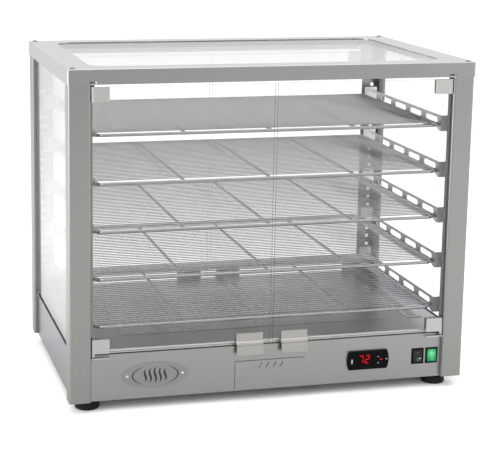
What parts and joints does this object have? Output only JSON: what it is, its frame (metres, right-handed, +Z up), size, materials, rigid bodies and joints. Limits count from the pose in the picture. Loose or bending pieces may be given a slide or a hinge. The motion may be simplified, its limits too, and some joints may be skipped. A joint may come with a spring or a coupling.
{
  "type": "food holding cabinet",
  "caption": "Countertop heated display cabinet with glass walls, hinged glass doors front and rear, wire shelves, a water drawer and a control panel in its base.",
  "frame": {"origin": "centre of the footprint, on the surface that the feet stand on", "axes": "+X to the right seen from the front, +Y to the rear, +Z up"},
  "size_m": [0.78, 0.49, 0.6434],
  "materials": {
    "brushed_stainless": "horizontal brushed stainless sheet, satin",
    "side_stainless": "brushed stainless sheet, cool satin",
    "deck_stainless": "smooth rolled stainless sheet, softly reflective",
    "bright_wire": "electropolished stainless wire",
    "runner_stainless": "stamped stainless sheet, satin",
    "hinge_metal": "cast and satin-polished stainless",
    "handle_metal": "brushed and clear-anodised extrusion",
    "clear_glass": "clear toughened glass with polished edges",
    "badge_metal": "plain satin plate",
    "screw_metal": "polished stainless fasteners",
    "foot_rubber": "matt black rubber",
    "black_plastic": "fine-textured black moulding",
    "display_lens": null,
    "button_plastic": "dark grey moulded keys",
    "rocker_black": "semi-gloss black rocker with a green lamp",
    "rocker_green": "translucent green rocker",
    "bush_plastic": "black nylon",
    "heater_sheath": "heat-tinted tubular sheath",
    "motor_metal": "grey stove enamel",
    "zinc_sheet": "plain zinc-plated sheet"
  },
  "bodies": {
    "cabinet": {"badge_plate": "badge_metal", "badge_rivets": "screw_metal", "bottom_plate": "brushed_stainless", "cable_gland": "black_plastic", "controller_body": "black_plastic", "controller_display": "display_lens", "deck": "deck_stainless", "deck_cover": "deck_stainless", "deck_vent": "deck_stainless", "drawer_guides": "zinc_sheet", "fan_motor": "motor_metal", "feet": "foot_rubber", "front_fascia": "brushed_stainless", "glass_retainers": "zinc_sheet", "heater_brackets": "zinc_sheet", "heating_element": "heater_sheath", "hinge_brackets": "hinge_metal", "hinge_bushes": "bush_plastic", "hinge_pins": "screw_metal", "post_front_left": "brushed_stainless", "post_front_right": "brushed_stainless", "post_rear_left": "brushed_stainless", "post_rear_right": "brushed_stainless", "rear_panel": "brushed_stainless", "shelf_1": "bright_wire", "shelf_2": "bright_wire", "shelf_3": "bright_wire", "shelf_4": "bright_wire", "shelf_5": "bright_wire", "shelf_runners": "runner_stainless", "shelf_uprights": "brushed_stainless", "side_glass_clips": "brushed_stainless", "side_glass_left": "clear_glass", "side_glass_right": "clear_glass", "side_panel_left": "side_stainless", "side_panel_right": "side_stainless", "switch_housings": "black_plastic", "top_frame": "brushed_stainless", "top_glass": "clear_glass", "top_screws": "screw_metal"},
    "door_front_right": {"door_glass_front_right": "clear_glass", "hinge_clips_front_right": "hinge_metal", "handle_front_right": "handle_metal"},
    "door_front_left": {"door_glass_front_left": "clear_glass", "hinge_clips_front_left": "hinge_metal", "handle_front_left": "handle_metal"},
    "door_rear_right": {"door_glass_rear_right": "clear_glass", "hinge_clips_rear_right": "hinge_metal", "handle_rear_right": "handle_metal"},
    "door_rear_left": {"door_glass_rear_left": "clear_glass", "hinge_clips_rear_left": "hinge_metal", "handle_rear_left": "handle_metal"},
    "water_drawer": {"drawer_front": "brushed_stainless", "drawer_tray": "brushed_stainless"},
    "rocker_power": {"rocker_power": "rocker_black"},
    "rocker_heat": {"rocker_heat": "rocker_green"},
    "button_up": {"button_up": "button_plastic"},
    "button_set": {"button_set": "button_plastic"},
    "button_down": {"button_down": "button_plastic"},
    "fan_rotor": {"fan_impeller": "motor_metal"}
  },
  "joints": [
    {"name": "door_front_right_hinge", "type": "hinge", "parent": "cabinet", "child": "door_front_right", "pos_m": [0.343, -0.2395, 0.361], "axis": [0, 0, 1], "range_deg": [0, 110]},
    {"name": "door_front_left_hinge", "type": "hinge", "parent": "cabinet", "child": "door_front_left", "pos_m": [-0.343, -0.2395, 0.361], "axis": [0, 0, -1], "range_deg": [0, 110]},
    {"name": "door_rear_right_hinge", "type": "hinge", "parent": "cabinet", "child": "door_rear_right", "pos_m": [0.343, 0.2395, 0.361], "axis": [0, 0, -1], "range_deg": [0, 110]},
    {"name": "door_rear_left_hinge", "type": "hinge", "parent": "cabinet", "child": "door_rear_left", "pos_m": [-0.343, 0.2395, 0.361], "axis": [0, 0, 1], "range_deg": [0, 110]},
    {"name": "water_drawer_slide", "type": "slide", "parent": "cabinet", "child": "water_drawer", "axis": [0, -1, 0], "range_m": [0, 0.26]},
    {"name": "rocker_power_pivot", "type": "hinge", "parent": "cabinet", "child": "rocker_power", "pos_m": [0.30015, -0.2322, 0.0646], "axis": [1, 0, 0], "range_deg": [0, 14]},
    {"name": "rocker_heat_pivot", "type": "hinge", "parent": "cabinet", "child": "rocker_heat", "pos_m": [0.3292, -0.2322, 0.0646], "axis": [1, 0, 0], "range_deg": [0, 14]},
    {"name": "button_up_press", "type": "slide", "parent": "cabinet", "child": "button_up", "axis": [0, 1, 0], "range_m": [0, 0.0008], "stiffness_N_per_m": 300},
    {"name": "button_set_press", "type": "slide", "parent": "cabinet", "child": "button_set", "axis": [0, 1, 0], "range_m": [0, 0.0008], "stiffness_N_per_m": 300},
    {"name": "button_down_press", "type": "slide", "parent": "cabinet", "child": "button_down", "axis": [0, 1, 0], "range_m": [0, 0.0008], "stiffness_N_per_m": 300},
    {"name": "fan_spin", "type": "hinge", "parent": "cabinet", "child": "fan_rotor", "pos_m": [0.3, 0, 0.079], "axis": [0, 0, 1], "continuous": true}
  ]
}
